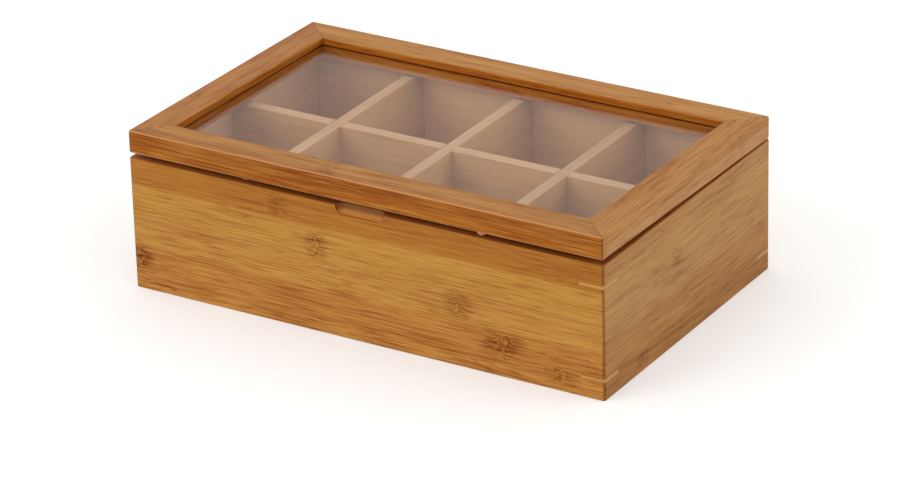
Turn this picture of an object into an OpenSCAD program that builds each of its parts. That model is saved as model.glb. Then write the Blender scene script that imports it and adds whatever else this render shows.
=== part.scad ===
// Bamboo tea box: a keyed mitred case with eight compartments and a hinged lid with a clear window.
// Millimetres. +X runs along the front, +Y points to the back, +Z is up.
// The origin is on the table, under the middle of the case.

/* [Case] */
// Length of the case along its front
case_length = 304.8; // [240:0.1:400]
// Depth of the case from front to back
case_depth = 190.5; // [150:0.1:260]
// Height of the case from the table to its rim
case_height = 80; // [60:0.5:120]
// Thickness of the four walls
wall_t = 8; // [8:0.5:12]
// Rounding of the four upright corners
case_corner_r = 2; // [1.2:0.1:4]
// Easing of the long edges at the rim and at the foot
case_ease_r = 0.7; // [0.2:0.1:1]

/* [Bottom panel] */
// Height of the panel's underside above the table
panel_lift = 5; // [3:0.5:8]
// Thickness of the panel
panel_t = 4; // [3:0.5:6]
// Depth of the groove in the walls that holds the panel
panel_groove = 3.5; // [2:0.5:4.5]
// Room for the panel to swell, at the bottom of its groove
panel_edge_gap = 0.5; // [0.2:0.1:1]
// Room over the panel in its groove
panel_face_gap = 0.1; // [0.05:0.05:0.3]

/* [Corner keys] */
// Thickness of a key let into a mitred corner
key_t = 2.6; // [1.5:0.1:4]
// Length of a key along each of its two walls
key_leg = 15; // [8:0.5:15.5]
// Depth of the middle of the upper keys below the rim
key_drop = 13; // [8:0.5:20]
// Wood left between the panel's groove and the lower keys
key_above_panel = 1.6; // [0.5:0.1:8]

/* [Dividers] */
// Thickness of the dividers
divider_t = 7; // [4:0.5:9]
// Depth of the tops of the dividers below the rim
divider_drop = 1; // [0.5:0.5:30]
// Room between the ends of a divider and the walls
divider_end_gap = 0.25; // [0.1:0.05:0.8]
// Room on each side of a divider in a halving slot
lap_gap = 0.1; // [0.05:0.05:0.3]

/* [Finger scoop] */
// Length of the scoop in the front wall
scoop_length = 31; // [20:1:80]
// Radius of the scoop, which is its depth down the wall and into it
scoop_r = 5; // [3:0.5:6]

/* [Lid] */
// Thickness of the lid
lid_t = 13.5; // [12:0.5:20]
// Width of the lid's four rails
rail_w = 19; // [15:0.5:30]
// How far each end of the lid lies inside the end of the case
lid_end_inset = 0.4; // [0:0.1:1]
// Rounding of the lid's upright corners
lid_corner_r = 1.2; // [1.2:0.1:3]
// Easing of the lid's outer long edges
lid_ease_r = 1; // [0.3:0.1:1.1]
// Rounding of the edge round the top of the window
window_ease_r = 1.2; // [0.3:0.1:2]
// Height of the lid over the rim at the front, where it lies on its bumpers
front_gap = 3; // [1.5:0.1:4]
// Height of the lid over the rim at the back, beside its hinges
back_gap = 0.3; // [0.3:0.05:0.5]

/* [Window] */
// Thickness of the clear pane
pane_t = 2; // [1.5:0.5:4]
// Depth of the pane below the top of the lid
pane_drop = 5; // [3:0.1:6]
// Depth of the groove in the rails that holds the pane
pane_groove = 4; // [2:0.5:6]
// Room round the pane at the bottom of its groove
pane_edge_gap = 0.5; // [0.2:0.1:1]
// Room over the pane in its groove
pane_face_gap = 0.1; // [0.05:0.05:0.3]

/* [Bumpers] */
// Diameter of the two clear bumpers under the lid
bumper_d = 6.5; // [5:0.5:9]
// Distance of each bumper from the middle of the lid
bumper_spread = 76; // [30:1:120]
// Distance of the right bumper from the front of the case
right_bumper_setback = 3.8; // [3:0.1:5]
// Distance of the left bumper from the front of the case
left_bumper_setback = 5.2; // [3:0.1:5.5]
// Room between a bumper and the rim
bumper_gap = 0.1; // [0.05:0.05:0.2]

/* [Hinges] */
// Length of a hinge
hinge_length = 25; // [20:1:40]
// Distance of the middle of each hinge from the end of the case
hinge_inset = 50; // [35:1:90]
// Distance of the hinge pins in front of the back of the case
hinge_setback = 0.8; // [0.5:0.05:0.9]
// Width of a leaf from the pin to its front edge
leaf_w = 6.6; // [6.3:0.1:7]
// Thickness of a leaf
leaf_t = 1; // [0.9:0.1:1.2]
// Radius of the knuckles
knuckle_r = 1.75; // [1.6:0.05:1.8]
// Radius of the pins
pin_r = 0.8; // [0.6:0.05:0.9]
// Room round a pin in its knuckles
pin_gap = 0.05; // [0.02:0.01:0.08]
// Room between neighbouring knuckles
knuckle_gap = 0.3; // [0.2:0.05:0.5]
// Radius of the heads that keep a pin in its knuckles
pin_head_r = 1.2; // [1.1:0.05:1.5]
// Thickness of those heads
pin_head_t = 0.5; // [0.3:0.1:0.8]
// Room between the heads and the outer knuckles
pin_end_gap = 0.1; // [0.05:0.05:0.2]
// Room round the knuckles in the wood
barrel_gap = 0.3; // [0.2:0.05:0.4]
// Room round the edges of a leaf in its recess
leaf_gap = 0.1; // [0.05:0.05:0.2]
// How far the lid opens, to where the bevels behind the pins meet
open_angle = 95; // [70:1:110]
// Angle left between the bevels at that stop
stop_gap = 1; // [0.2:0.1:2]

/* [Screws] */
// Distance of each screw from the middle of its hinge
screw_spread = 8; // [5:0.5:10]
// Distance of the screws from the pin
screw_reach = 4.3; // [4.2:0.05:4.5]
// Length of a screw
screw_length = 8; // [5:0.5:9]
// Radius of a screw's shank
screw_r = 1; // [0.7:0.1:1.1]
// Radius of its countersunk head
screw_head_r = 1.7; // [1.4:0.1:1.8]
// Depth of its head
screw_head_t = 0.75; // [0.5:0.05:0.8]
// Width of the cross in its head
cross_w = 0.4; // [0.2:0.1:0.6]
// Room round a screw
screw_gap = 0.05; // [0.02:0.01:0.1]

/* [Hidden] */
$fn = 64;

// Colours as the finished box shows them
bamboo = [0.74, 0.53, 0.28];
lid_bamboo = [0.70, 0.48, 0.25];
pale_bamboo = [0.84, 0.68, 0.45];
grid_bamboo = [0.78, 0.62, 0.42];
clear_acrylic = [0.75, 0.80, 0.82, 0.35];
brass = [0.80, 0.64, 0.30];
clear_rubber = [0.88, 0.88, 0.86];

// How far cutting tools run past what they cut
over = 1;

// A side of a frame, and the corner at its left end, go by the angle they are turned through
front_angle = 0;
right_angle = 90;
back_angle = 180;
left_angle = 270;

lid_length = case_length - 2 * lid_end_inset;
inner_length = case_length - 2 * wall_t;
inner_depth = case_depth - 2 * wall_t;
floor_z = panel_lift + panel_t;

// The grid of dividers: three across and one along make four by two compartments
cross_count = 3;
cross_pitch = (inner_length + divider_t) / (cross_count + 1);
divider_top = case_height - divider_drop;
lap_z = (floor_z + divider_top) / 2;

lower_key_z = floor_z + panel_face_gap + key_above_panel + key_t / 2;
upper_key_z = case_height - key_drop;

// The hinge line, and the small tilt at which the lid lies on its bumpers
axis_y = case_depth / 2 - hinge_setback;
axis_z = case_height + back_gap / 2;
lid_z = case_height + back_gap;
lid_reach = axis_y + case_depth / 2;
lid_tilt = asin((front_gap - back_gap) / lid_reach);
bevel_angle = (open_angle + lid_tilt + stop_gap) / 2;

knuckle_count = 5;
knuckle_length = (hinge_length - (knuckle_count - 1) * knuckle_gap) / knuckle_count;

function side_half(side, length, depth) = (side % 180 == 0 ? length : depth) / 2;
function side_reach(side, length, depth) = (side % 180 == 0 ? depth : length) / 2;
function cross_x(index) = (index - (cross_count - 1) / 2) * cross_pitch;
function hinge_x(hand) = hand * (case_length / 2 - hinge_inset);
function knuckle_start(index) = -hinge_length / 2 + index * (knuckle_length + knuckle_gap);

// A bumper is as high as the space under the tilted lid where it sits
function bumper_height(setback) =
    back_gap / 2 + (lid_reach - setback) * tan(lid_tilt) + (back_gap / 2 - bumper_gap) / cos(lid_tilt);

// Runs a section, drawn as y and z, along x
module along_x(length) {
    rotate([90, 0, 90]) linear_extrude(length, center = true) children();
}

// An upright rectangle with its four corners rounded
module eased_section(width, height, ease) {
    translate([-width / 2, ease]) square([width, height - 2 * ease]);
    translate([-width / 2 + ease, 0]) square([width - 2 * ease, height]);
    for (x = [-1, 1], y = [ease, height - ease]) {
        translate([x * (width / 2 - ease), y]) circle(ease);
    }
}

// A block with rounded upright corners and eased edges above and below
module eased_block(length, depth, height, corner, ease) {
    along_x(length - 2 * corner) eased_section(depth, height, ease);
    rotate([0, 0, 90]) along_x(depth - 2 * corner) eased_section(length, height, ease);
    for (x = [-1, 1], y = [-1, 1]) {
        translate([x * (length / 2 - corner), y * (depth / 2 - corner), 0]) rotate_extrude()
            intersection() {
                eased_section(2 * corner, height, ease);
                square([corner, height]);
            }
    }
}

// Puts a piece drawn along x, with its outer face on y = 0, on one side of a frame
module on_side(side, length, depth) {
    rotate([0, 0, side]) translate([0, -side_reach(side, length, depth), 0]) children();
}

// The plan of one mitred side of a frame
module mitred_plan(half, thickness) {
    polygon([[-half, 0], [half, 0], [half - thickness, thickness], [thickness - half, thickness]]);
}

// Everything behind the hinge line on the open side of a bevel that starts at that line
module bevel_tool() {
    rotate([-bevel_angle, 0, 0]) translate([-case_length / 2 - over, 0, 0])
        cube([case_length + 2 * over, 4 * hinge_setback + over, 4 * hinge_setback + over]);
}

// The outside of the case, bevelled behind the hinge line
module case_block() {
    difference() {
        eased_block(case_length, case_depth, case_height, case_corner_r, case_ease_r);
        translate([0, axis_y, axis_z]) bevel_tool();
    }
}

// The corner where two walls meet, with x and y running along them
module on_corner(corner) {
    rotate([0, 0, corner])
        translate([-side_half(corner, case_length, case_depth), -side_reach(corner, case_length, case_depth), 0])
            children();
}

// The saw slot for a key, which is also the key before it is trimmed flush
module key_slab(corner, middle_z) {
    on_corner(corner) translate([0, 0, middle_z - key_t / 2]) linear_extrude(key_t)
        polygon([[-over, -over], [key_leg + over, -over], [-over, key_leg + over]]);
}

// A cove with ball ends along the top edge of the front wall
module scoop_tool() {
    translate([0, -case_depth / 2, case_height]) {
        rotate([0, 90, 0]) cylinder(r = scoop_r, h = scoop_length - 2 * scoop_r, center = true);
        for (x = [-1, 1]) {
            translate([x * (scoop_length / 2 - scoop_r), 0, 0]) sphere(scoop_r);
        }
    }
}

// The recess for a case leaf and its barrel, cut down into the rim
module leaf_recess() {
    translate([-hinge_length / 2 - leaf_gap, -leaf_w - leaf_gap, -back_gap / 2 - leaf_t])
        cube([hinge_length + 2 * leaf_gap, leaf_w + leaf_gap, leaf_t + over]);
    barrel_room = hinge_length + 2 * (pin_end_gap + pin_head_t + barrel_gap);
    rotate([0, 90, 0]) cylinder(r = knuckle_r + barrel_gap, h = barrel_room, center = true);
    for (x = [-1, 1]) {
        translate([x * screw_spread, -screw_reach, -back_gap / 2 - screw_length - screw_gap])
            cylinder(r = screw_r + screw_gap, h = screw_length);
    }
}

// One wall of the case
module case_wall(side) {
    half = side_half(side, case_length, case_depth);
    color(bamboo) difference() {
        intersection() {
            case_block();
            on_side(side, case_length, case_depth) linear_extrude(case_height) mitred_plan(half, wall_t);
        }
        on_side(side, case_length, case_depth)
            translate([-half, wall_t - panel_groove, panel_lift])
                cube([2 * half, panel_groove + over, panel_t + panel_face_gap]);
        for (corner = [side, side + 90], middle_z = [lower_key_z, upper_key_z]) {
            key_slab(corner, middle_z);
        }
        if (side == front_angle) scoop_tool();
        if (side == back_angle) {
            for (hand = [-1, 1]) {
                translate([hinge_x(hand), axis_y, axis_z]) leaf_recess();
            }
        }
    }
}

// The bottom of the case, let into the walls all round
module bottom_panel() {
    grow = 2 * (panel_groove - panel_edge_gap);
    color(pale_bamboo) translate([-(inner_length + grow) / 2, -(inner_depth + grow) / 2, panel_lift])
        cube([inner_length + grow, inner_depth + grow, panel_t]);
}

// A key across one mitred corner, trimmed flush with both walls
module corner_key(corner, middle_z) {
    color(pale_bamboo) intersection() {
        case_block();
        key_slab(corner, middle_z);
    }
}

// The divider along the case, slotted from above for the three across it
module long_divider() {
    length = inner_length - 2 * divider_end_gap;
    slot = divider_t + 2 * lap_gap;
    color(grid_bamboo) difference() {
        translate([-length / 2, -divider_t / 2, floor_z]) cube([length, divider_t, divider_top - floor_z]);
        for (index = [0:cross_count - 1]) {
            translate([cross_x(index) - slot / 2, -divider_t / 2 - over, lap_z])
                cube([slot, divider_t + 2 * over, divider_top - lap_z + over]);
        }
    }
}

// A divider across the case, slotted from below to drop over the long one
module cross_divider(index) {
    length = inner_depth - 2 * divider_end_gap;
    slot = divider_t + 2 * lap_gap;
    color(grid_bamboo) difference() {
        translate([cross_x(index) - divider_t / 2, -length / 2, floor_z])
            cube([divider_t, length, divider_top - floor_z]);
        translate([cross_x(index) - divider_t / 2 - over, -slot / 2, floor_z - over])
            cube([divider_t + 2 * over, slot, lap_z - floor_z + over]);
    }
}

// Tips what is drawn square to the case up to where the lid rests
module at_rest() {
    translate([0, axis_y, axis_z]) rotate([-lid_tilt, 0, 0]) translate([0, -axis_y, -axis_z]) children();
}

// The outside of the lid, bevelled behind the hinge line
module lid_block() {
    difference() {
        translate([0, 0, lid_z]) eased_block(lid_length, case_depth, lid_t, lid_corner_r, lid_ease_r);
        translate([0, axis_y, axis_z]) mirror([0, 0, 1]) bevel_tool();
    }
}

// What rounds off the window's edge, seen along a rail
module window_round() {
    difference() {
        square(window_ease_r + over);
        circle(window_ease_r);
    }
}

// One rail of the lid's frame
module lid_rail(side) {
    half = side_half(side, lid_length, case_depth);
    groove_z = lid_z + lid_t - pane_drop - pane_t;
    color(lid_bamboo) at_rest() difference() {
        intersection() {
            lid_block();
            on_side(side, lid_length, case_depth) translate([0, 0, lid_z]) linear_extrude(lid_t)
                mitred_plan(half, rail_w);
        }
        on_side(side, lid_length, case_depth) {
            translate([-half, rail_w - pane_groove, groove_z])
                cube([2 * half, pane_groove + over, pane_t + pane_face_gap]);
            along_x(2 * half) translate([rail_w - window_ease_r, lid_z + lid_t - window_ease_r]) window_round();
        }
        if (side == back_angle) {
            for (hand = [-1, 1]) {
                translate([hinge_x(hand), axis_y, axis_z]) mirror([0, 0, 1]) leaf_recess();
            }
        }
    }
}

// The clear pane, lying on the lower face of its groove
module window_pane() {
    grow = 2 * (pane_groove - pane_edge_gap);
    length = lid_length - 2 * rail_w + grow;
    depth = case_depth - 2 * rail_w + grow;
    color(clear_acrylic) at_rest() translate([-length / 2, -depth / 2, lid_z + lid_t - pane_drop - pane_t])
        cube([length, depth, pane_t]);
}

// A clear dome stuck under the lid, on which it comes down
module bumper(hand, setback) {
    height = bumper_height(setback);
    dome_r = (bumper_d * bumper_d / 4 + height * height) / (2 * height);
    color(clear_rubber) at_rest() translate([hand * bumper_spread, setback - case_depth / 2, lid_z])
        intersection() {
            translate([0, 0, dome_r - height]) sphere(dome_r);
            translate([0, 0, -height - over]) cylinder(d = bumper_d + over, h = height + over);
        }
}

// A leaf under the hinge line, with every second knuckle from the first one given
module hinge_leaf(first) {
    difference() {
        union() {
            translate([-hinge_length / 2, -leaf_w, -back_gap / 2 - leaf_t]) cube([hinge_length, leaf_w, leaf_t]);
            for (index = [first:2:knuckle_count - 1]) {
                translate([knuckle_start(index), 0, 0]) rotate([0, 90, 0])
                    cylinder(r = knuckle_r, h = knuckle_length);
            }
        }
        for (index = [1 - first:2:knuckle_count - 1]) {
            translate([knuckle_start(index) - knuckle_gap, -knuckle_r - knuckle_gap, -2 * knuckle_r])
                cube([knuckle_length + 2 * knuckle_gap, 2 * knuckle_r + 2 * knuckle_gap, 4 * knuckle_r]);
        }
        rotate([0, 90, 0]) cylinder(r = pin_r + pin_gap, h = hinge_length + 2 * over, center = true);
        for (x = [-1, 1]) {
            translate([x * screw_spread, -screw_reach, -back_gap / 2]) {
                translate([0, 0, -leaf_t - over]) cylinder(r = screw_r + screw_gap, h = leaf_t + 2 * over);
                translate([0, 0, -screw_head_t])
                    cylinder(r1 = screw_r + screw_gap, r2 = screw_head_r + screw_gap, h = screw_head_t);
            }
        }
    }
}

// The leaf let into the back wall
module hinge_case_leaf(hand) {
    color(brass) translate([hinge_x(hand), axis_y, axis_z]) hinge_leaf(0);
}

// The leaf let into the lid
module hinge_lid_leaf(hand) {
    color(brass) at_rest() translate([hinge_x(hand), axis_y, axis_z]) mirror([0, 0, 1]) hinge_leaf(1);
}

// The pin of a hinge, with a flat head at each end
module hinge_pin(hand) {
    reach = hinge_length / 2 + pin_end_gap;
    color(brass) translate([hinge_x(hand), axis_y, axis_z]) rotate([0, 90, 0]) {
        cylinder(r = pin_r, h = 2 * reach + 2 * pin_head_t, center = true);
        for (end = [-1, 1]) {
            translate([0, 0, end * (reach + pin_head_t / 2)]) cylinder(r = pin_head_r, h = pin_head_t, center = true);
        }
    }
}

// A countersunk wood screw, hanging from its head on z = 0
module screw() {
    tip = 2 * screw_r;
    difference() {
        union() {
            translate([0, 0, -screw_head_t]) cylinder(r1 = screw_r, r2 = screw_head_r, h = screw_head_t);
            translate([0, 0, -screw_length + tip]) cylinder(r = screw_r, h = screw_length - tip);
            translate([0, 0, -screw_length]) cylinder(r1 = cross_w / 4, r2 = screw_r, h = tip);
        }
        for (turn = [0, 90]) {
            rotate([0, 0, turn]) cube([1.2 * screw_head_r, cross_w, screw_head_t], center = true);
        }
    }
}

module screw_pair() {
    for (x = [-1, 1]) {
        translate([x * screw_spread, -screw_reach, -back_gap / 2]) screw();
    }
}

// The two screws that hold a leaf to the back wall
module case_screws(hand) {
    color(brass) translate([hinge_x(hand), axis_y, axis_z]) screw_pair();
}

// The two screws that hold a leaf to the lid
module lid_screws(hand) {
    color(brass) at_rest() translate([hinge_x(hand), axis_y, axis_z]) mirror([0, 0, 1]) screw_pair();
}

case_wall(front_angle);  // front_wall
case_wall(right_angle);  // right_wall
case_wall(back_angle);  // back_wall
case_wall(left_angle);  // left_wall
bottom_panel();
corner_key(front_angle, lower_key_z);  // key_front_left_lower
corner_key(right_angle, lower_key_z);  // key_front_right_lower
corner_key(back_angle, lower_key_z);  // key_back_right_lower
corner_key(left_angle, lower_key_z);  // key_back_left_lower
corner_key(front_angle, upper_key_z);  // key_front_left_upper
corner_key(right_angle, upper_key_z);  // key_front_right_upper
corner_key(back_angle, upper_key_z);  // key_back_right_upper
corner_key(left_angle, upper_key_z);  // key_back_left_upper
long_divider();
cross_divider(0);  // cross_divider_left
cross_divider(1);  // cross_divider_middle
cross_divider(2);  // cross_divider_right
lid_rail(front_angle);  // lid_front_rail
lid_rail(right_angle);  // lid_right_rail
lid_rail(back_angle);  // lid_back_rail
lid_rail(left_angle);  // lid_left_rail
window_pane();
bumper(-1, left_bumper_setback);  // bumper_left
bumper(1, right_bumper_setback);  // bumper_right
hinge_case_leaf(-1);  // hinge_case_leaf_left
hinge_case_leaf(1);  // hinge_case_leaf_right
hinge_lid_leaf(-1);  // hinge_lid_leaf_left
hinge_lid_leaf(1);  // hinge_lid_leaf_right
hinge_pin(-1);  // hinge_pin_left
hinge_pin(1);  // hinge_pin_right
case_screws(-1);  // case_screws_left
case_screws(1);  // case_screws_right
lid_screws(-1);  // lid_screws_left
lid_screws(1);  // lid_screws_right
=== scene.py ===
import math
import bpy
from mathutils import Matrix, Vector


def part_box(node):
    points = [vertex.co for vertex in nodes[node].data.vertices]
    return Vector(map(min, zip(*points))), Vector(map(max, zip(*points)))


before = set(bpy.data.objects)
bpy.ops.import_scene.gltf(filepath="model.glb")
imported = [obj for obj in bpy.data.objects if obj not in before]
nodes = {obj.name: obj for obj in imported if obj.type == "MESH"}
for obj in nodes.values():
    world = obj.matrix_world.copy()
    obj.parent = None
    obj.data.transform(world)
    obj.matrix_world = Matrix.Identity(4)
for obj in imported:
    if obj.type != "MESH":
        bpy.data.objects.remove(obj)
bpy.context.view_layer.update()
from types import SimpleNamespace
import bpy
from mathutils import Quaternion, Vector


# Camera
# The photograph's viewpoint, from the box's labelled size and the corners that it shows.
# It stands two and a half metres off, so the box hardly tapers, and leans a little.
MM = 0.001
camera_azimuth = math.radians(31.8)
camera_elevation = math.radians(25.0)
camera_roll = math.radians(-1.58)
camera_distance = 2488.5 * MM
camera_target = Vector((-1.14, 0, 16.67)) * MM
towards_camera = Vector((
    math.sin(camera_azimuth) * math.cos(camera_elevation),
    -math.cos(camera_azimuth) * math.cos(camera_elevation),
    math.sin(camera_elevation),
))
camera = bpy.data.objects.new("camera", bpy.data.cameras.new("camera"))
camera.data.sensor_width = 36.0
camera.data.lens = 175.55
camera.location = camera_target + towards_camera * camera_distance
camera.rotation_mode = "QUATERNION"
camera.rotation_quaternion = towards_camera.to_track_quat("Z", "Y") @ Quaternion((0, 0, 1), camera_roll)
bpy.context.scene.collection.objects.link(camera)
bpy.context.scene.camera = camera
bpy.context.scene.view_settings.view_transform = "Standard"


# Studio
# A pale floor under even light from all round, with a large softbox at the left of the front and a fill
# at the right. The floor and what lies past it show as white, and the floor takes the box's soft shadow.
def linear(colour):
    """An sRGB colour written in hex, as the linear values that a shader takes."""
    parts = [int(colour[at:at + 2], 16) / 255 for at in (1, 3, 5)]
    return [part / 12.92 if part <= 0.04045 else ((part + 0.055) / 1.055) ** 2.4 for part in parts] + [1.0]


def add(tree, kind, inputs=None, stops=None, family="ShaderNode", **settings):
    """Adds a node with its settings, its values and links, and a ramp's stops."""
    made = tree.nodes.new(family + kind)
    for name, value in settings.items():
        setattr(made, name, value)
    for socket, value in (inputs or {}).items():
        if isinstance(value, bpy.types.NodeSocket):
            tree.links.new(value, made.inputs[socket])
        else:
            made.inputs[socket].default_value = value
    for index, (position, colour) in enumerate(stops or ()):
        ramp = made.color_ramp.elements
        stop = ramp[index] if index < 2 else ramp.new(position)
        stop.position = position
        stop.color = linear(colour)
    return made


def start_material(name):
    """A new material with an empty tree."""
    material = bpy.data.materials.new(name)
    material.use_nodes = True
    material.node_tree.nodes.clear()
    return material, material.node_tree


def looked_at(tree):
    """1 for rays that show a surface to the eye, and 0 for those that only carry light."""
    path = add(tree, "LightPath")
    seen = path.outputs["Is Camera Ray"]
    for ray in ("Is Glossy Ray", "Is Transmission Ray"):
        seen = add(tree, "Math", {0: seen, 1: path.outputs[ray]}, operation="MAXIMUM").outputs[0]
    return seen


room_light = 0.9
world = bpy.data.worlds.new("white_studio")
world.use_nodes = True
world.node_tree.nodes.clear()
tree = world.node_tree
strength = add(tree, "MapRange", {"Value": looked_at(tree), "To Min": room_light, "To Max": 1.0})
light = add(tree, "Background", {"Color": linear("#ffffff"), "Strength": strength.outputs[0]})
add(tree, "OutputWorld", {"Surface": light.outputs[0]})
bpy.context.scene.world = world

floor_half, paper_lift = 4.0, 0.28
floor_mesh = bpy.data.meshes.new("floor")
floor_corners = [(x * floor_half, y * floor_half, 0) for x, y in ((-1, -1), (1, -1), (1, 1), (-1, 1))]
floor_mesh.from_pydata(floor_corners, [], [(0, 1, 2, 3)])
floor = bpy.data.objects.new("floor", floor_mesh)
bpy.context.scene.collection.objects.link(floor)
# Matt white paper: what the eye sees is lifted to white, and the light that it sends back is not
paper, tree = start_material("matt_white_paper")
matt = add(tree, "BsdfDiffuse", {"Color": linear("#e6e6e4")})
lift = add(tree, "MapRange", {"Value": looked_at(tree), "To Min": 0.0, "To Max": paper_lift})
glow = add(tree, "Emission", {"Strength": lift.outputs[0]})
both = add(tree, "AddShader", {0: matt.outputs[0], 1: glow.outputs[0]})
add(tree, "OutputMaterial", {"Surface": both.outputs[0]})
floor_mesh.materials.append(paper)

softbox_size = 1.4
for name, place, watts in (
    ("softbox_left", (-1.1, -1.9, 1.5), 14.0),
    ("softbox_right", (2.2, 0.9, 1.1), 8.0),
):
    softbox = bpy.data.objects.new(name, bpy.data.lights.new(name, "AREA"))
    softbox.data.size = softbox_size
    softbox.data.energy = watts
    softbox.location = place
    softbox.rotation_mode = "QUATERNION"
    softbox.rotation_quaternion = softbox.location.to_track_quat("Z", "Y")
    bpy.context.scene.collection.objects.link(softbox)


# Front wall
# The long front board of the case, glued up edge to edge from flat bamboo strips about 18 mm wide and
# mitred at both ends. It is planed, sanded and sprayed with satin lacquer, which turns the bamboo honey
# brown and leaves a soft sheen on it.
X, Y, Z = 0, 1, 2
# A face counts as turned to a side from the first of these cosines on, and wholly from the second
half_turned, turned = 0.5, 0.8


def box_in_mm(node):
    """The lowest and the highest corner of a part of the frame, in millimetres."""
    return [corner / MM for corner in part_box(node)]


def dress(node, material):
    """Gives a part of the frame its finish."""
    nodes[node].data.materials.clear()
    nodes[node].data.materials.append(material)


def begin_board(name, grain, across):
    """The material of a bamboo board, with what all its layers are drawn by: the place in mm, and how far
    a face is turned to each axis. grain is the axis of the fibres, and across that of the strips' widths."""
    material, tree = start_material(name)
    coordinates = add(tree, "TexCoord")
    point = add(tree, "VectorMath", {0: coordinates.outputs["Object"], "Scale": 1 / MM}, operation="SCALE")
    place = add(tree, "SeparateXYZ", {0: point.outputs[0]})
    facing = add(tree, "VectorMath", {0: coordinates.outputs["Normal"]}, operation="ABSOLUTE")
    facing = add(tree, "SeparateXYZ", {0: facing.outputs[0]})
    return SimpleNamespace(
        material=material, tree=tree, grain=grain, across=across, through=3 - grain - across,
        point=point.outputs[0], place=place.outputs, facing=facing.outputs,
        normal=coordinates.outputs["Normal"])


def drawn_out(board, length, width):
    """The scale of a pattern whose features are that long along the grain and that wide across it, in mm."""
    scale = [1 / width] * 3
    scale[board.grain] = 1 / length
    return scale


def grow_fibres(board, cut_at):
    """The board's fibres as four patterns that run along the grain, from hairlines to clouds of tone.
    cut_at is how many mm along the cane the board was cut, so that boards differ."""
    tree = board.tree
    # Cane grows a little crooked, so its fibres wander by a millimetre over a hand's width
    bow_length, bow_width, bow = 130, 40, 3.0
    bend = add(tree, "Mapping", {"Vector": board.point, "Scale": drawn_out(board, bow_length, bow_width)})
    bend = add(tree, "TexNoise", {"Vector": bend.outputs[0], "Scale": 1.0, "Detail": 1.0})
    bend = add(tree, "VectorMath", {0: bend.outputs["Color"], 1: (-0.5, -0.5, -0.5)}, operation="ADD")
    start = [0.0] * 3
    start[board.grain] = cut_at
    bend = add(tree, "VectorMath", {
        0: bend.outputs[0], 1: (bow, bow, bow), 2: start}, operation="MULTIPLY_ADD")
    wavy = add(tree, "VectorMath", {0: board.point, 1: bend.outputs[0]}, operation="ADD")
    # Length and width of each pattern's features in mm, how many finer octaves it has and how much they
    # count. Real fibre bundles are 0.3 to 0.6 mm across, and are drawn coarser here so that they show.
    fibres = {}
    for pattern, length, width, octaves, falloff in (
        ("hairlines", 30, 0.85, 1.0, 0.6),
        ("bands", 110, 4.0, 2.0, 0.55),
        ("dashes", 11, 0.8, 1.0, 0.5),
        ("clouds", 70, 17, 1.0, 0.5),
    ):
        at = add(tree, "Mapping", {"Vector": wavy.outputs[0], "Scale": drawn_out(board, length, width)})
        noise = add(tree, "TexNoise", {
            "Vector": at.outputs[0], "Scale": 1.0, "Detail": octaves, "Roughness": falloff})
        fibres[pattern] = noise.outputs["Fac"]
    return fibres


def strip_shades(board, axis, strips, blur):
    """The colour of strips that lie side by side on an axis, with a soft step from one to the next.
    strips gives the edges of all strips in mm, one more than there are strips, and the strips' shades."""
    edges, shades = strips
    first, last = edges[0], edges[-1]
    stops = [(first, shades[0])]
    for edge, shade, next_shade in zip(edges[1:], shades, shades[1:]):
        stops += [(edge - blur, shade), (edge + blur, next_shade)]
    stops = [((edge - first) / (last - first), shade) for edge, shade in stops]
    along_stack = add(board.tree, "MapRange", {
        "Value": board.place[axis], "From Min": first, "From Max": last})
    return add(board.tree, "ValToRGB", {0: along_stack.outputs[0]}, stops=stops).outputs[0]


def narrow_faces(board, colour, sides):
    """A board's rim and a rail's sides show the edges of its strips, in one shade or layer by layer. The
    case's rim shade is also painted darker, as the shade in the gap under the lid.
    """
    narrow = add(board.tree, "MapRange", {
        "Value": board.facing[board.across], "From Min": half_turned, "From Max": turned})
    if isinstance(sides, str):
        shade = linear(sides)
    else:
        shade = strip_shades(board, board.through, sides, blur=0.4)
    return add(board.tree, "Mix", {0: narrow.outputs[0], 6: colour, 7: shade}, data_type="RGBA").outputs[2]


def grown_figure(board, colour, strength):
    """Clouds of tone, soft bands and hairlines, each dark on one side and pale on the other."""
    # For each: its pattern, the value at which it is full, how much of it then shows, its tint and blend
    for pattern, full, share, tint, blend in (
        ("clouds", 0.75, 0.24, "#dcbc92", "MULTIPLY"),
        ("clouds", 0.25, 0.08, "#d49a48", "MIX"),
        ("bands", 0.75, 0.40, "#d6b084", "MULTIPLY"),
        ("bands", 0.25, 0.12, "#d49a48", "MIX"),
        ("hairlines", 0.75, 0.72, "#cda67a", "MULTIPLY"),
        ("hairlines", 0.25, 0.25, "#d8a250", "MIX"),
    ):
        amount = add(board.tree, "MapRange", {
            "Value": board.fibres[pattern], "From Min": 0.5, "From Max": full, "To Max": share})
        if pattern != "clouds":
            amount = add(board.tree, "Math", {0: amount.outputs[0], 1: strength}, operation="MULTIPLY")
        colour = add(board.tree, "Mix", {0: amount.outputs[0], 6: colour, 7: linear(tint)},
                     data_type="RGBA", blend_type=blend).outputs[2]
    return colour


def dark_dashes(board, colour, strength):
    """Short dark dashes, where fibre bundles lie close. They come in swarms."""
    tree = board.tree
    swarm = add(tree, "MapRange", {
        "Value": board.fibres["clouds"], "From Min": 0.38, "From Max": 0.62, "To Min": 0.15, "To Max": 1.0})
    dash = add(tree, "MapRange", {
        "Value": board.fibres["dashes"], "From Min": 0.56, "From Max": 0.70, "To Max": 0.62})
    dash = add(tree, "Math", {0: dash.outputs[0], 1: swarm.outputs[0]}, operation="MULTIPLY")
    dash = add(tree, "Math", {0: dash.outputs[0], 1: strength}, operation="MULTIPLY")
    return add(tree, "Mix", {0: dash.outputs[0], 6: colour, 7: linear("#c3925c")},
               data_type="RGBA", blend_type="MULTIPLY").outputs[2]


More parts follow.
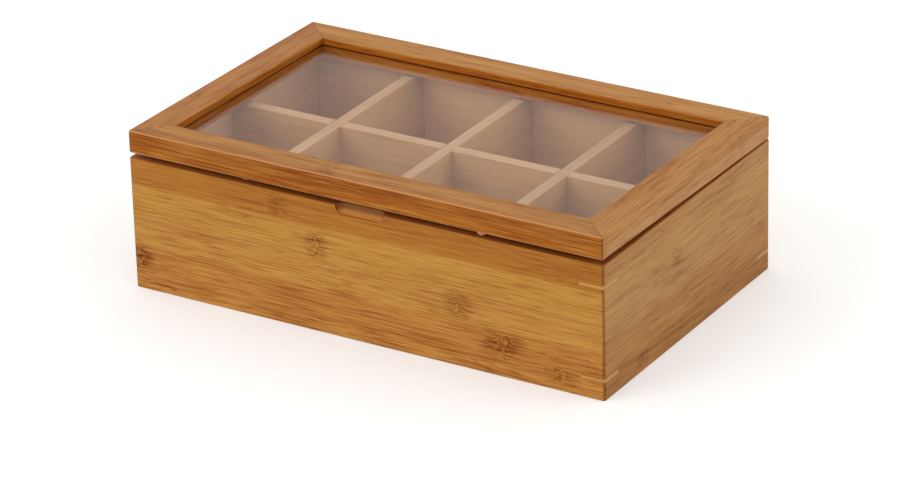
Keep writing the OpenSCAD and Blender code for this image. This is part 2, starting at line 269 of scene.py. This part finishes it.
def nearest_knot(board, knots, ragged, length_share):
    """How far away the nearest knot is, 1 at its edge, with that share of each knot's length. A knot fills
    its strip, so its outline is squarish, and a faint one is never nearer than its faintness."""
    nearest = None
    for along, over, half_length, half_width, faint in knots:
        squeeze = [0.0] * 3
        squeeze[board.grain] = 1 / (half_length * length_share)
        squeeze[board.across] = 1 / half_width
        shift = [0.0] * 3
        shift[board.grain] = -along * squeeze[board.grain]
        shift[board.across] = -over * squeeze[board.across]
        shift[board.through] = math.sqrt(faint)
        there = add(board.tree, "VectorMath", {0: ragged, 1: squeeze, 2: shift}, operation="MULTIPLY_ADD")
        square = add(board.tree, "VectorMath", {
            0: there.outputs[0], 1: there.outputs[0]}, operation="MULTIPLY")
        away = add(board.tree, "VectorMath", {0: square.outputs[0]}, operation="LENGTH").outputs["Value"]
        if nearest is None:
            nearest = away
        else:
            nearest = add(board.tree, "Math", {0: nearest, 1: away}, operation="MINIMUM").outputs[0]
    return nearest


def knot_halo(board, colour, knots, ragged):
    """A knot's crooked band across the strip, and a swarm of dashes to both sides of it."""
    halo = nearest_knot(board, knots, ragged, length_share=1.0)
    halo = add(board.tree, "MapRange", {
        "Value": halo, "From Min": 1.0, "From Max": 0.0}, interpolation_type="SMOOTHSTEP")
    crowd = add(board.tree, "MapRange", {
        "Value": board.fibres["dashes"], "From Min": 0.40, "From Max": 0.60, "To Min": 0.2, "To Max": 1.0})
    dark = add(board.tree, "Math", {0: halo.outputs[0], 1: crowd.outputs[0]}, operation="MULTIPLY")
    return add(board.tree, "Mix", {0: dark.outputs[0], 6: colour, 7: linear("#ba8628")},
               data_type="RGBA", blend_type="MULTIPLY").outputs[2]


def knot_curls(board, colour, knots, ragged):
    """The dark curls and the pale flecks in the middle of a knot, where fibres turn out of their way."""
    tree = board.tree
    curl_length, curl_width = 2.8, 1.4
    core = nearest_knot(board, knots, ragged, length_share=0.4)
    core = add(tree, "MapRange", {
        "Value": core, "From Min": 1.0, "From Max": 0.2}, interpolation_type="SMOOTHSTEP")
    curls = add(tree, "Mapping", {"Vector": ragged, "Scale": drawn_out(board, curl_length, curl_width)})
    curls = add(tree, "TexNoise", {"Vector": curls.outputs[0], "Scale": 1.0, "Detail": 1.0})
    for start, full, share, tint, blend in (
        (0.50, 0.64, 0.65, "#b87f12", "MULTIPLY"),
        (0.46, 0.34, 0.35, "#dca450", "MIX"),
    ):
        curl = add(tree, "MapRange", {
            "Value": curls.outputs["Fac"], "From Min": start, "From Max": full, "To Max": share})
        curl = add(tree, "Math", {0: core.outputs[0], 1: curl.outputs[0]}, operation="MULTIPLY")
        colour = add(tree, "Mix", {0: curl.outputs[0], 6: colour, 7: linear(tint)},
                     data_type="RGBA", blend_type=blend).outputs[2]
    return colour


def knotted(board, colour, knots):
    """Knots, where a strip crosses a joint of the cane. knots gives each one's middle along the grain and
    across it in mm, its half length, its half width, and how faint it is, from 0 to 1."""
    tree = board.tree
    crinkles_per_mm, crinkle_reach = 0.3, 4.5
    jitter = add(tree, "TexNoise", {"Vector": board.point, "Scale": crinkles_per_mm, "Detail": 2.0})
    jitter = add(tree, "VectorMath", {0: jitter.outputs["Color"], 1: (-0.5, -0.5, -0.5)}, operation="ADD")
    jitter = add(tree, "VectorMath", {0: jitter.outputs[0], "Scale": crinkle_reach}, operation="SCALE")
    ragged = add(tree, "VectorMath", {0: board.point, 1: jitter.outputs[0]}, operation="ADD").outputs[0]
    colour = knot_halo(board, colour, knots, ragged)
    return knot_curls(board, colour, knots, ragged)


def bare_and_lit_inside(board, colour, inside):
    """The face inside the box has no lacquer and is painted paler, as bare wood and as the light that
    reaches into the box. inside is the way that it looks.
    """
    pale = add(board.tree, "ValToRGB", {0: board.fibres["hairlines"]}, stops=[
        (0.3, "#e6c198"), (0.7, "#ddb68c")])
    inward = add(board.tree, "VectorMath", {0: board.normal, 1: inside}, operation="DOT_PRODUCT")
    bare_and_lit = add(board.tree, "MapRange", {
        "Value": inward.outputs["Value"], "From Min": half_turned, "From Max": turned, "To Max": 0.88})
    return add(board.tree, "Mix", {
        0: bare_and_lit.outputs[0], 6: colour, 7: pale.outputs[0]}, data_type="RGBA").outputs[2]


def cut_ends(board, colour, darkness):
    """Cut ends drink the lacquer and go darker."""
    end = add(board.tree, "MapRange", {
        "Value": board.facing[board.grain], "From Min": 0.2, "From Max": 0.75, "To Max": darkness})
    return add(board.tree, "Mix", {0: end.outputs[0], 6: colour, 7: linear("#b98a5c")},
               data_type="RGBA", blend_type="MULTIPLY").outputs[2]


def worn_arrises(board, colour, worn):
    """The eased arrises along the grain are painted paler, as wood sanded through and as the highlight that
    they catch, as far as the given share says.
    """
    steep = add(board.tree, "Math", {
        0: board.facing[board.across], 1: board.facing[board.through]}, operation="MULTIPLY")
    eased = add(board.tree, "MapRange", {
        "Value": steep.outputs[0], "From Min": 0.15, "From Max": 0.45, "To Max": worn})
    return add(board.tree, "Mix", {
        0: eased.outputs[0], 6: colour, 7: linear("#dca066")}, data_type="RGBA").outputs[2]


def mitre_line(board, colour, mitre):
    """The glue line of a mitre, where a point is as far from one outer face as from the other.
    mitre is how much farther along than across the box its outer corners lie."""
    tree = board.tree
    half_line, blur = 0.25, 0.15
    flat = add(tree, "VectorMath", {0: board.point}, operation="ABSOLUTE")
    flat = add(tree, "SeparateXYZ", {0: flat.outputs[0]})
    offset = add(tree, "Math", {0: flat.outputs[0], 1: flat.outputs[1]}, operation="SUBTRACT")
    offset = add(tree, "Math", {0: offset.outputs[0], 1: mitre}, operation="SUBTRACT")
    offset = add(tree, "Math", {0: offset.outputs[0]}, operation="ABSOLUTE")
    line = add(tree, "MapRange", {
        "Value": offset.outputs[0], "From Min": half_line + blur, "From Max": half_line - blur,
        "To Max": 0.4})
    return add(tree, "Mix", {0: line.outputs[0], 6: colour, 7: linear("#8f6136")},
               data_type="RGBA", blend_type="MULTIPLY").outputs[2]


def lacquer(board, colour, roughness):
    """The board's surface. Lacquer fills most of the grain, so only the coarser fibres are felt."""
    tree, fibres = board.tree, board.fibres
    relief_depth, unevenness = 0.03 * MM, 0.05
    relief = add(tree, "Math", {0: fibres["hairlines"], 1: fibres["dashes"]}, operation="SUBTRACT")
    bump = add(tree, "Bump", {"Height": relief.outputs[0], "Strength": 0.5, "Distance": relief_depth})
    gloss = add(tree, "MapRange", {
        "Value": fibres["hairlines"], "From Min": 0.3, "From Max": 0.7,
        "To Min": roughness - unevenness, "To Max": roughness + unevenness})
    surface = add(tree, "BsdfPrincipled", {
        "Base Color": colour, "Roughness": gloss.outputs[0], "IOR": 1.5, "Specular IOR Level": 0.15,
        "Normal": bump.outputs[0]})
    add(tree, "OutputMaterial", {"Surface": surface.outputs[0]})


def bamboo(
    name, grain, across, strips, sides=None, inside=None, knots=(), mitre=None,
    figure=(1.0, 1.0), ends=0.8, worn=0.0, roughness=0.5, cut_at=0,
):
    """Laminated bamboo under satin lacquer: a shade of its own for each strip, with the grain over it.
    figure is how strongly the grain shows in the lowest strip and in the highest. Strips from near the
    rind have closer bundles and a stronger figure than those from the heart of the cane."""
    board = begin_board(name, grain, across)
    board.fibres = grow_fibres(board, cut_at)
    colour = strip_shades(board, across, strips, blur=1.0)
    if sides:
        colour = narrow_faces(board, colour, sides)
    strength = add(board.tree, "MapRange", {
        "Value": board.place[across], "From Min": strips[0][0], "From Max": strips[0][-1],
        "To Min": figure[0], "To Max": figure[1]}).outputs[0]
    colour = grown_figure(board, colour, strength)
    colour = dark_dashes(board, colour, strength)
    if knots:
        colour = knotted(board, colour, knots)
    if inside:
        colour = bare_and_lit_inside(board, colour, inside)
    colour = cut_ends(board, colour, ends)
    colour = worn_arrises(board, colour, worn)
    if mitre:
        colour = mitre_line(board, colour, mitre)
    lacquer(board, colour, roughness)
    return board.material


case_half_length = box_in_mm("right_wall")[1].x
case_half_depth = box_in_mm("back_wall")[1].y
case_mitre = case_half_length - case_half_depth
# The case's rims show the strips' edges, in a colour painted darker as the shade in the gap under the lid
rim_and_gap_shade = "#93531f"
front_strips = (
    (0, 9, 27.3, 45.6, 64, 80),
    ("#be833c", "#b97d37", "#be883f", "#be893c", "#ab6d24"),
)
front_knots = [
    (-53, 71.5, 9, 9, 0.5),
    (-29, 52.5, 9, 10, 0.3),
    (-148, 20, 11, 10, 0.2),
    (62, 37, 12, 9.5, 0.4),
    (89, 19, 17, 10, 0.0),
    (125, 9, 14, 6, 0.3),
]
front_board = bamboo(
    "lacquered_bamboo_front", X, Z, front_strips, sides=rim_and_gap_shade, inside=(0, 1, 0), knots=front_knots,
    mitre=case_mitre, figure=(1.5, 0.65), cut_at=300)
dress("front_wall", front_board)


# Finger scoop
# The hollow in the front wall's rim, milled when the board was already sanded. Its floor is painted bright
# where it faces up to the light, its steep back and ends are painted dark as the shade under the lid's
# rail, and a thin darker line runs along its lip.
def tint_board(tree, amount, tint, blend="MIX"):
    """Lays a tint over a finished board's colour, at each point as strongly as the amount says, for real
    stains and for painted light and shade.
    """
    wood = tree.nodes["Principled BSDF"].inputs["Base Color"]
    tinted = add(tree, "Mix", {
        0: amount, 6: wood.links[0].from_socket, 7: tint}, data_type="RGBA", blend_type=blend)
    tree.links.new(tinted.outputs[2], wood)


scoop_half, lip = 15.5, 1.0
front_low, front_high = box_in_mm("front_wall")
tree = front_board.node_tree
coordinates = add(tree, "TexCoord")
place = add(tree, "VectorMath", {0: coordinates.outputs["Object"], "Scale": 1 / MM}, operation="SCALE")
place = add(tree, "SeparateXYZ", {0: place.outputs[0]})
normal = add(tree, "SeparateXYZ", {0: coordinates.outputs["Normal"]})
aside = add(tree, "Math", {0: place.outputs[0]}, operation="ABSOLUTE")
# The hollow lies between the scoop's ends, behind the board's face, before its back and below its rim.
# Each bound goes from just outside the hollow to just within it.
hollow = None
for value, outside, within in (
    (aside.outputs[0], scoop_half + 0.4, scoop_half),
    (place.outputs[1], front_low.y + 0.02, front_low.y + 0.12),
    (place.outputs[1], front_high.y - 0.1, front_high.y - 0.4),
    (place.outputs[2], front_high.z - 0.1, front_high.z - 0.4),
):
    bound = add(tree, "MapRange", {"Value": value, "From Min": outside, "From Max": within}).outputs[0]
    if hollow is None:
        hollow = bound
    else:
        hollow = add(tree, "Math", {0: hollow, 1: bound}, operation="MULTIPLY").outputs[0]
# Painted light and shade: bright where the hollow faces up, dark on its steep back and ends under the lid
faces_up = add(tree, "MapRange", {"Value": normal.outputs[2], "From Min": 0.45, "From Max": 0.8})
lit_and_shaded_cut = add(tree, "Mix", {
    0: faces_up.outputs[0], 6: linear("#8a5526"), 7: linear("#cc863e")}, data_type="RGBA")
# A thin darker line along the hollow's lip
lip_line = add(tree, "MapRange", {
    "Value": place.outputs[1], "From Min": front_low.y + lip, "From Max": front_low.y + lip / 2,
    "To Max": 0.85})
lit_and_shaded_cut = add(tree, "Mix", {0: lip_line.outputs[0], 6: lit_and_shaded_cut.outputs[2], 7: linear("#b07c48")},
          data_type="RGBA", blend_type="MULTIPLY")
tint_board(tree, hollow, lit_and_shaded_cut.outputs[2])


# Right, back and left walls
# Lacquered boards like the front one, from other canes. The right one is painted paler and less golden,
# as the cooler light that falls on that side. The back one carries the recesses for the hinges.
for side, grain, inside, edges, shades, knots, figure in (
    # The right wall's paler, greyer shades are painted light, as falls on that side
    ("right", Y, (-1, 0, 0),
     (0, 14, 33, 52, 70, 80), ("#9f6c33", "#a8763f", "#ac7f4a", "#af824a", "#ab7c45"),
     [(-14.2, 53.3, 8, 8, 0.45), (-53, 7.8, 9, 6, 0.5)], (0.9, 0.75)),
    ("back", X, (0, -1, 0),
     (0, 12, 30, 48, 67, 80), ("#b07a3e", "#b98446", "#b27a3a", "#bb884a", "#b37c3e"),
     [(-96, 58, 8, 9, 0.1), (12, 21, 11, 9, 0.0), (104, 40, 9, 9, 0.3)], (1.0, 1.0)),
    ("left", Y, (1, 0, 0),
     (0, 16, 35, 54, 73, 80), ("#b27c42", "#ad7738", "#b98648", "#b27c3e", "#b88444"),
     [(48, 44, 8, 9, 0.0), (-34, 25, 9, 9, 0.35)], (1.0, 1.0)),
):
    dress(side + "_wall", bamboo(
        "lacquered_bamboo_" + side, grain, Z, (edges, shades), sides=rim_and_gap_shade, inside=inside,
        knots=knots, mitre=case_mitre, figure=figure))


# Corner keys
# Eight slips of bamboo, glued into saw cuts across the mitres and planed flush to stiffen the corners.
# Under the lacquer those at the right end are paler than the boards and show as thin bands, and those
# at the left end nearly match.
lower_low, lower_high = box_in_mm("key_front_left_lower")
lower_key = (lower_low.z + lower_high.z) / 2
key_rise = box_in_mm("key_front_left_upper")[0].z - lower_low.z
key_half = (lower_high.z - lower_low.z) / 2
# The lower slips have the first shade and the upper ones the second, and the change lies between them
key_edges, glue_creep = (0, 40, 80), 0.7
for end, key_shades, side_light_tint in (
    ("left", ("#b97f3a", "#b4782f"), "#b8905a"),
    ("right", ("#c9954f", "#c79249"), "#bb915b"),
):
    slip = bamboo(
        "bamboo_slip_" + end, X, Z, (key_edges, key_shades), figure=(0.4, 0.4), ends=0.0)
    tree = slip.node_tree
    coordinates = add(tree, "TexCoord")
    # The slips' ends, on the case's two sides, are painted greyer than their long edges at its front and
    # back, as the cooler light that falls on those sides
    side_light_mask = add(tree, "VectorMath", {
        0: coordinates.outputs["Normal"], 1: (1, 0, 0)}, operation="DOT_PRODUCT")
    side_light_mask = add(tree, "Math", {0: side_light_mask.outputs["Value"]}, operation="ABSOLUTE")
    side_light_mask = add(tree, "MapRange", {"Value": side_light_mask.outputs[0], "From Min": 0.4, "From Max": 0.8})
    tint_board(tree, side_light_mask.outputs[0], linear(side_light_tint))
    # Dark glue has crept along each slip's two faces, which lie at the same distance from its middle plane
    height = add(tree, "SeparateXYZ", {0: coordinates.outputs["Object"]})
    height = add(tree, "Math", {0: height.outputs[2], 1: 1 / MM, 2: -lower_key}, operation="MULTIPLY_ADD")
    height = add(tree, "Math", {0: height.outputs[0], 1: key_rise / 2}, operation="PINGPONG")
    crept = add(tree, "MapRange", {
        "Value": height.outputs[0], "From Min": key_half - glue_creep, "From Max": key_half,
        "To Max": 0.9})
    tint_board(tree, crept.outputs[0], linear("#b88a58"), "MULTIPLY")
    for row in ("front_", "back_"):
        for level in ("_lower", "_upper"):
            dress("key_" + row + end + level, slip)


# Bottom panel
# A thin glued-up bamboo sheet that floats in a groove round the walls. It is sanded and sprayed only
# once, so it stays pale and nearly matt.
sheet_strip = 19
sheet_strips = (
    [sheet_strip * step for step in range(-5, 6)],
    [("#dab07c", "#d2a268", "#d6a76e")[step % 3] for step in range(10)],
)
dress("bottom_panel", bamboo(
    "sanded_bamboo_sheet", X, Y, sheet_strips, figure=(0.6, 0.6), roughness=0.55))


# Dividers
# Four thin slats of pale bamboo, halved over each other and dropped into the case loose. They are only
# sanded, so they are matt, greyer on their handled top edges, and soft along the arrises of these.
slat_top, eased_width, sharp_angle = box_in_mm("long_divider")[1].z, 0.35, math.radians(40)
slat_strips = ((0, 24, 48, 80), ("#d0a472", "#d4a976", "#d5ad7d"))

# Only the arrises along their tops are eased. Their ends and halvings stay square, so that they fit tight.
top_arrises = bpy.data.node_groups.new("top_arrises", "GeometryNodeTree")
for way in ("INPUT", "OUTPUT"):
    top_arrises.interface.new_socket("Geometry", in_out=way, socket_type="NodeSocketGeometry")
whole_slat = add(top_arrises, "GroupInput", family="Node")
middle = add(top_arrises, "InputPosition", family="GeometryNode")
middle = add(top_arrises, "SeparateXYZ", {0: middle.outputs[0]})
high = add(top_arrises, "Math", {0: middle.outputs[2], 1: (slat_top - 0.01) * MM}, operation="GREATER_THAN")
angle = add(top_arrises, "InputMeshEdgeAngle", family="GeometryNode")
sharp = add(top_arrises, "Math", {0: angle.outputs[0], 1: sharp_angle}, operation="GREATER_THAN")
weight = add(top_arrises, "Math", {0: high.outputs[0], 1: sharp.outputs[0]}, operation="MULTIPLY")
weighted = add(top_arrises, "StoreNamedAttribute", {
    "Geometry": whole_slat.outputs[0], "Name": "bevel_weight_edge", "Value": weight.outputs[0],
}, family="GeometryNode", data_type="FLOAT", domain="EDGE")
add(top_arrises, "GroupOutput", {0: weighted.outputs[0]}, family="Node")

for slat, direction, top_shade in (
    ("long_divider", X, "#caa888"),
    ("cross_divider_left", Y, "#c9a787"),
    ("cross_divider_middle", Y, "#c8a686"),
    ("cross_divider_right", Y, "#bf9f80"),
):
    dress(slat, bamboo(
        "sanded_bamboo_" + slat, direction, Z, slat_strips, sides=top_shade, figure=(0.36, 0.36),
        worn=0.4, roughness=0.6))
    weld = nodes[slat].modifiers.new("closed_edges", "WELD")
    weld.merge_threshold = 0.001 * MM
    nodes[slat].modifiers.new("top_arrises", "NODES").node_group = top_arrises
    soften = nodes[slat].modifiers.new("sanded_arris", "BEVEL")
    soften.width = eased_width * MM
    soften.segments = 2
    soften.limit_method = "WEIGHT"


# Lid frame
# Four rails 19 mm wide, mitred and glued round the pane, each laminated on edge from narrow strips and
# lacquered like the case. Their edges, on the narrow faces, are darker and more orange than their tops,
# but the right rail's are painted paler, as the light that falls on that side.
lid_mitre = box_in_mm("lid_right_rail")[1].x - case_half_depth
# The rails are two layers deep, which shows as two bands on their narrow faces
layer_edges = (83, 89.2, 96.5)


def rail(side, grain, across, edges, shades, layer_shades, **look):
    """Dresses one rail of the lid and returns its wood."""
    wood = bamboo(
        "lacquered_bamboo_lid_" + side, grain, across, (edges, shades),
        sides=(layer_edges, layer_shades), mitre=lid_mitre, **look)
    dress("lid_" + side + "_rail", wood)
    return wood


rail("front", X, Y, (-95.3, -89, -82.5, -76), ("#a26b31", "#a97337", "#a67034"), ("#a45d0c", "#9a540b"),
     knots=[(-24, -86, 9, 11, 0.55), (-50, -97, 9, 5, 0.75)], figure=(1.3, 1.2), worn=0.55, cut_at=300)
# The right rail's pale sides are painted light, as falls on the case's right side
rail("right", Y, X, (133, 139, 146, 152.4), ("#a67033", "#ad783b", "#ac7739"), ("#b28150", "#aa763f"),
     knots=[(62.3, 152, 7, 6, 0.75)], worn=0.1)
back_wood = rail(
    "back", X, Y, (76, 82.5, 89, 95.5), ("#b0793a", "#b47d40", "#ae783a"), ("#b47430", "#b16717"),
    worn=0.15)
left_wood = rail(
    "left", Y, X, (-152.4, -146, -139, -133), ("#a56832", "#a86e36", "#a56a32"), ("#9b5d22", "#a86518"),
    knots=[(-33, -147.5, 9, 3.5, 0.5)], worn=0.15)

# A dark line is painted along the top of the pane on the last two rails' inner faces, as the shade in
# the crease where the pane meets them.
# The pane slopes with the lid, whose gap to the case shrinks from its front edge back to the hinges.
front_gap, back_gap, lid_reach = 3.0, 0.3, 189.7
pane_slope = (front_gap - back_gap) / lid_reach
pane_top, crease_line_width, crease_line_blur = 90.15, 0.6, 0.1
for wooden, inward in ((back_wood, (0, -1, 0)), (left_wood, (1, 0, 0))):
    tree = wooden.node_tree
    coordinates = add(tree, "TexCoord")
    height = add(tree, "VectorMath", {
        0: coordinates.outputs["Object"], 1: (0, pane_slope / MM, 1 / MM)}, operation="DOT_PRODUCT")
    height = add(tree, "Math", {
        0: height.outputs["Value"], 1: pane_top + crease_line_width / 2}, operation="SUBTRACT")
    height = add(tree, "Math", {0: height.outputs[0]}, operation="ABSOLUTE")
    painted_crease_line = add(tree, "MapRange", {
        "Value": height.outputs[0], "From Min": crease_line_width / 2 + crease_line_blur, "From Max": crease_line_width / 2 - crease_line_blur})
    faces = add(tree, "VectorMath", {0: coordinates.outputs["Normal"], 1: inward}, operation="DOT_PRODUCT")
    faces = add(tree, "MapRange", {
        "Value": faces.outputs["Value"], "From Min": half_turned, "From Max": turned})
    painted_crease_line = add(tree, "Math", {0: painted_crease_line.outputs[0], 1: faces.outputs[0]}, operation="MULTIPLY")
    tint_board(tree, painted_crease_line.outputs[0], linear("#681600"))


# Window pane
# A clear cast acrylic sheet, 2 mm thick, in a groove in the rails. It mirrors the room at a low angle,
# which veils what lies under it.
clear_sheet, tree = start_material("clear_acrylic_sheet")
# A real room is dimmer overhead than this white one, so only this share of the sheet mirrors it
mirrors = 0.4
acrylic = add(tree, "BsdfPrincipled", {
    "Base Color": linear("#fbf8f4"), "Roughness": 0.0, "IOR": 1.49, "Transmission Weight": 1.0})
unmirrored = add(tree, "BsdfRefraction", {"Color": linear("#fdfbf9"), "Roughness": 0.0, "IOR": 1.49})
seen = add(tree, "MixShader", {0: mirrors, 1: unmirrored.outputs[0], 2: acrylic.outputs[0]})
# Lamps shine through it as through a thin clear sheet
path = add(tree, "LightPath")
carries_light = add(tree, "Math", {
    0: path.outputs["Is Shadow Ray"], 1: path.outputs["Is Diffuse Ray"]}, operation="MAXIMUM")
through = add(tree, "BsdfTransparent", {"Color": linear("#fbf8f4")})
sheet = add(tree, "MixShader", {0: carries_light.outputs[0], 1: seen.outputs[0], 2: through.outputs[0]})
add(tree, "OutputMaterial", {"Surface": sheet.outputs[0]})
dress("window_pane", clear_sheet)


# Bumpers
# Two self-adhesive domes of clear silicone under the lid's front rail, cast in a sheet with a tacky
# back, which let the lid come down softly. The clear dome is painted in the tan of the wood seen through
# it and round it, dimmed as in the shade under the rail, and keeps a soft glint.
silicone, tree = start_material("clear_silicone_dome")
dome = add(tree, "BsdfPrincipled", {
    "Base Color": linear("#d9a47c"), "Roughness": 0.35, "IOR": 1.41, "Specular IOR Level": 0.3,
    "Transmission Weight": 0.35})
add(tree, "OutputMaterial", {"Surface": dome.outputs[0]})
for bumper in ("bumper_left", "bumper_right"):
    dress(bumper, silicone)


# Hinges
# Two small butt hinges let into the back wall and the lid: rolled and stamped brass leaves, a drawn pin
# with headed ends, and countersunk brass screws. They are brushed lightly along the knuckles and left to
# dull, so they glint in soft streaks.
brass, tree = start_material("brushed_dull_brass")
# Real brushing is finer than 0.05 mm, and is drawn coarser here so that it shows
streak_length, streak_width, tarnish_size = 8 * MM, 0.3 * MM, 4 * MM
coordinates = add(tree, "TexCoord")
brushed = add(tree, "Mapping", {
    "Vector": coordinates.outputs["Object"],
    "Scale": (1 / streak_length, 1 / streak_width, 1 / streak_width)})
brushed = add(tree, "TexNoise", {"Vector": brushed.outputs[0], "Scale": 1.0, "Detail": 2.0})
tarnish = add(tree, "TexNoise", {
    "Vector": coordinates.outputs["Object"], "Scale": 1 / tarnish_size, "Detail": 3.0})
patina = add(tree, "ValToRGB", {0: tarnish.outputs["Fac"]}, stops=[(0.35, "#c9a55c"), (0.7, "#b08b4a")])
dullness = add(tree, "MapRange", {"Value": brushed.outputs["Fac"], "To Min": 0.24, "To Max": 0.44})
lines = add(tree, "Bump", {"Height": brushed.outputs["Fac"], "Strength": 0.2, "Distance": 0.01 * MM})
metal = add(tree, "BsdfPrincipled", {
    "Base Color": patina.outputs[0], "Metallic": 1.0, "Roughness": dullness.outputs[0],
    "Normal": lines.outputs[0]})
add(tree, "OutputMaterial", {"Surface": metal.outputs[0]})
for side in ("left", "right"):
    for part in ("hinge_case_leaf_", "hinge_lid_leaf_", "hinge_pin_", "case_screws_", "lid_screws_"):
        dress(part + side, brass)
